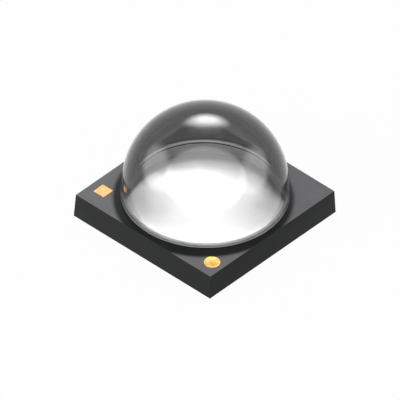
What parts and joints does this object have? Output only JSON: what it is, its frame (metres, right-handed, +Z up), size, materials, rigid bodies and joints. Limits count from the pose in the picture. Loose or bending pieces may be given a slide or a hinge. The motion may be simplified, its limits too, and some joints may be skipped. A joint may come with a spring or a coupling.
{
  "type": "uv led",
  "caption": "Surface-mount ultraviolet emitter: a square black ceramic body with a hollow clear glass dome over a bright silvery pocket, and flat solder pads underneath.",
  "frame": {"origin": "middle of the plane that the solder pads on the underside rest on", "axes": "+Z up through the top of the dome, +Y from the anode pad towards the cathode pad, +X along the side that has the gold marks near its two ends, from the square mark to the round mark"},
  "size_m": [0.0044, 0.0044, 0.003],
  "materials": {
    "black_ceramic": "matte",
    "dome_glass": "clear polished",
    "bond_glass": "satin grey",
    "bright_lining": "bright satin",
    "sealing_nickel": "dull satin",
    "silvery_fill": "glossy silvery",
    "gold": "satin gold plating",
    "copper": "satin",
    "solder": "satin",
    "emitter_chip": "polished",
    "silicon": "polished"
  },
  "bodies": {
    "root": {"ceramic_body": "black_ceramic", "cavity_reflector": "bright_lining", "sealing_fill": "silvery_fill", "seal_ring": "sealing_nickel", "dome_bond": "bond_glass", "glass_dome": "dome_glass", "square_mark": "gold", "round_mark": "gold", "anode_vias": "copper", "cathode_vias": "copper", "anode_solder_pad": "gold", "cathode_solder_pad": "gold", "thermal_pad": "gold", "cathode_pad_inner": "gold", "anode_pad_inner": "gold", "die_attach": "solder", "led_die": "emitter_chip", "esd_attach": "solder", "esd_diode": "silicon", "esd_wire": "gold", "bond_wire_1": "gold", "bond_wire_2": "gold", "bond_wire_3": "gold"}
  },
  "joints": []
}
